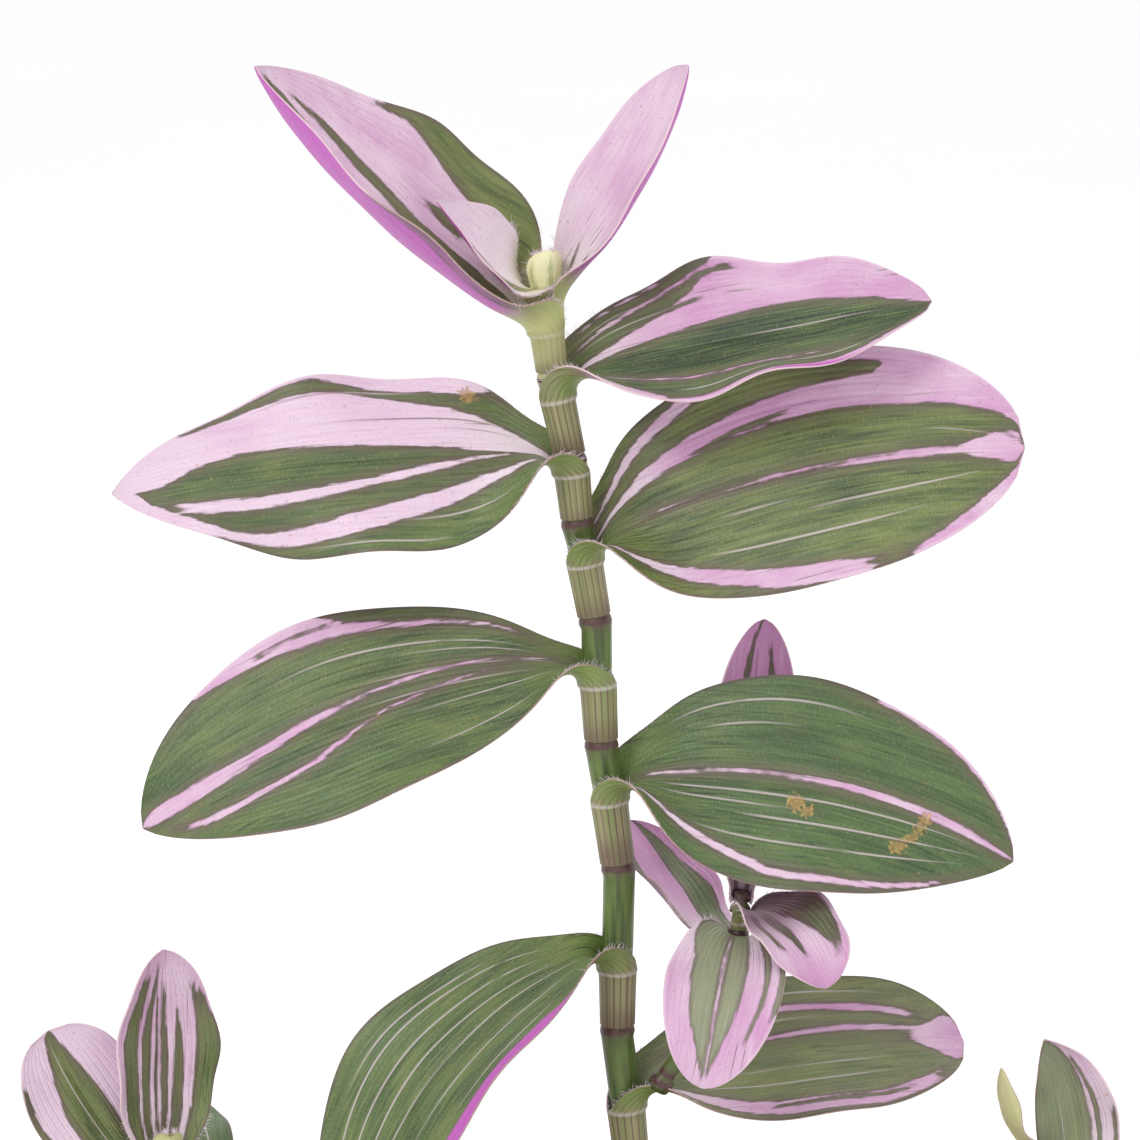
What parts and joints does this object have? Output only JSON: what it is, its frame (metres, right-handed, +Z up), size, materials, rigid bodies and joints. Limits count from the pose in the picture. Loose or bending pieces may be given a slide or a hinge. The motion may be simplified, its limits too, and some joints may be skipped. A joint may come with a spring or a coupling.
{
  "type": "potted tradescantia",
  "caption": "Upright striped house plant with fleshy pointed leaves clasping a jointed stem, low side shoots and a tapered round clay pot.",
  "frame": {"origin": "centre of the flat foot of the pot, on the surface it stands on", "axes": "+Z up, the way the main stem grows; -Y to the front, the side that the leaves' faces turn to; +X to the right"},
  "size_m": [0.2072, 0.128, 0.3212],
  "materials": {
    "clay": "matte unglazed clay",
    "soil": "coarse dark potting mix",
    "stem": "glossy green stem",
    "leaf": "satin green leaf with pink stripes",
    "young_leaf": "satin pale pink leaf with green streaks"
  },
  "bodies": {
    "root": {"pot": "clay", "potting_soil": "soil", "main_stem": "stem", "main_leaf_1": "leaf", "main_leaf_2": "leaf", "main_leaf_3": "leaf", "main_leaf_4": "leaf", "main_leaf_5": "leaf", "main_leaf_6": "leaf", "main_leaf_7": "leaf", "main_leaf_8": "leaf", "main_leaf_9": "leaf", "main_crown_leaf_1": "young_leaf", "main_crown_leaf_2": "young_leaf", "main_crown_leaf_3": "young_leaf", "main_crown_leaf_4": "young_leaf", "side_stem": "stem", "side_leaf_1": "leaf", "side_crown_leaf_1": "young_leaf", "side_crown_leaf_2": "young_leaf", "side_crown_leaf_3": "young_leaf", "left_stem": "stem", "left_leaf_1": "leaf", "left_leaf_2": "leaf", "left_crown_leaf_1": "young_leaf", "left_crown_leaf_2": "young_leaf", "left_crown_leaf_3": "young_leaf", "right_stem": "stem", "right_leaf_1": "leaf", "right_leaf_2": "leaf", "right_crown_leaf_1": "young_leaf", "right_crown_leaf_2": "young_leaf"}
  },
  "joints": []
}
